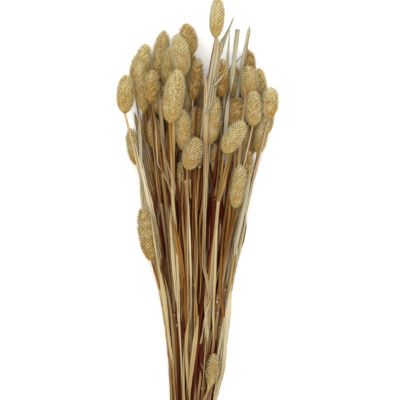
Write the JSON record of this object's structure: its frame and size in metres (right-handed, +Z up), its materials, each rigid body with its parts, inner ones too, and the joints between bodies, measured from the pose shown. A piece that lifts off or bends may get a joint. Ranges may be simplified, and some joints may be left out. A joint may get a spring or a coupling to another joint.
{
  "type": "dried canary grass bunch",
  "caption": "Bunch of dried canary grass with scaly oval seed heads on jointed straws with dry blades, held by an elastic band and lying flat.",
  "frame": {"origin": "the middle of the bunch's box, on the surface that the bunch lies on", "axes": "+Y along the straws towards the seed heads, +Z up from the surface, +X to the right with the heads away from the viewer"},
  "size_m": [0.1291, 0.5592, 0.0685],
  "materials": {
    "straw_pale": "dry matt straw, pale cream",
    "straw_golden": "dry satin straw, golden",
    "straw_brown": "dry matt straw, brown",
    "band": "matt natural rubber"
  },
  "bodies": {
    "root": {"culm_01": "straw_pale", "culm_02": "straw_golden", "culm_03": "straw_brown", "culm_04": "straw_pale", "culm_05": "straw_golden", "culm_06": "straw_brown", "culm_07": "straw_pale", "culm_08": "straw_golden", "culm_09": "straw_brown", "culm_10": "straw_pale", "culm_11": "straw_golden", "culm_12": "straw_brown", "culm_13": "straw_pale", "culm_14": "straw_golden", "culm_15": "straw_brown", "culm_16": "straw_pale", "culm_17": "straw_golden", "culm_18": "straw_brown", "culm_19": "straw_pale", "culm_20": "straw_golden", "culm_21": "straw_brown", "culm_22": "straw_pale", "culm_23": "straw_golden", "culm_24": "straw_brown", "culm_25": "straw_pale", "culm_26": "straw_golden", "culm_27": "straw_brown", "culm_28": "straw_pale", "culm_29": "straw_golden", "culm_30": "straw_brown", "culm_31": "straw_pale", "culm_32": "straw_golden", "culm_33": "straw_brown", "culm_34": "straw_pale", "culm_35": "straw_golden", "culm_36": "straw_brown", "culm_37": "straw_pale", "culm_38": "straw_golden", "culm_39": "straw_brown", "culm_40": "straw_pale", "culm_41": "straw_golden", "culm_42": "straw_brown", "culm_43": "straw_pale", "culm_44": "straw_golden", "culm_45": "straw_brown", "culm_46": "straw_pale", "culm_47": "straw_golden", "culm_48": "straw_brown", "culm_49": "straw_pale", "culm_50": "straw_golden", "culm_51": "straw_brown", "culm_52": "straw_pale", "culm_53": "straw_golden", "culm_54": "straw_brown", "culm_55": "straw_pale", "culm_56": "straw_golden", "culm_57": "straw_brown", "band": "band"}
  },
  "joints": []
}
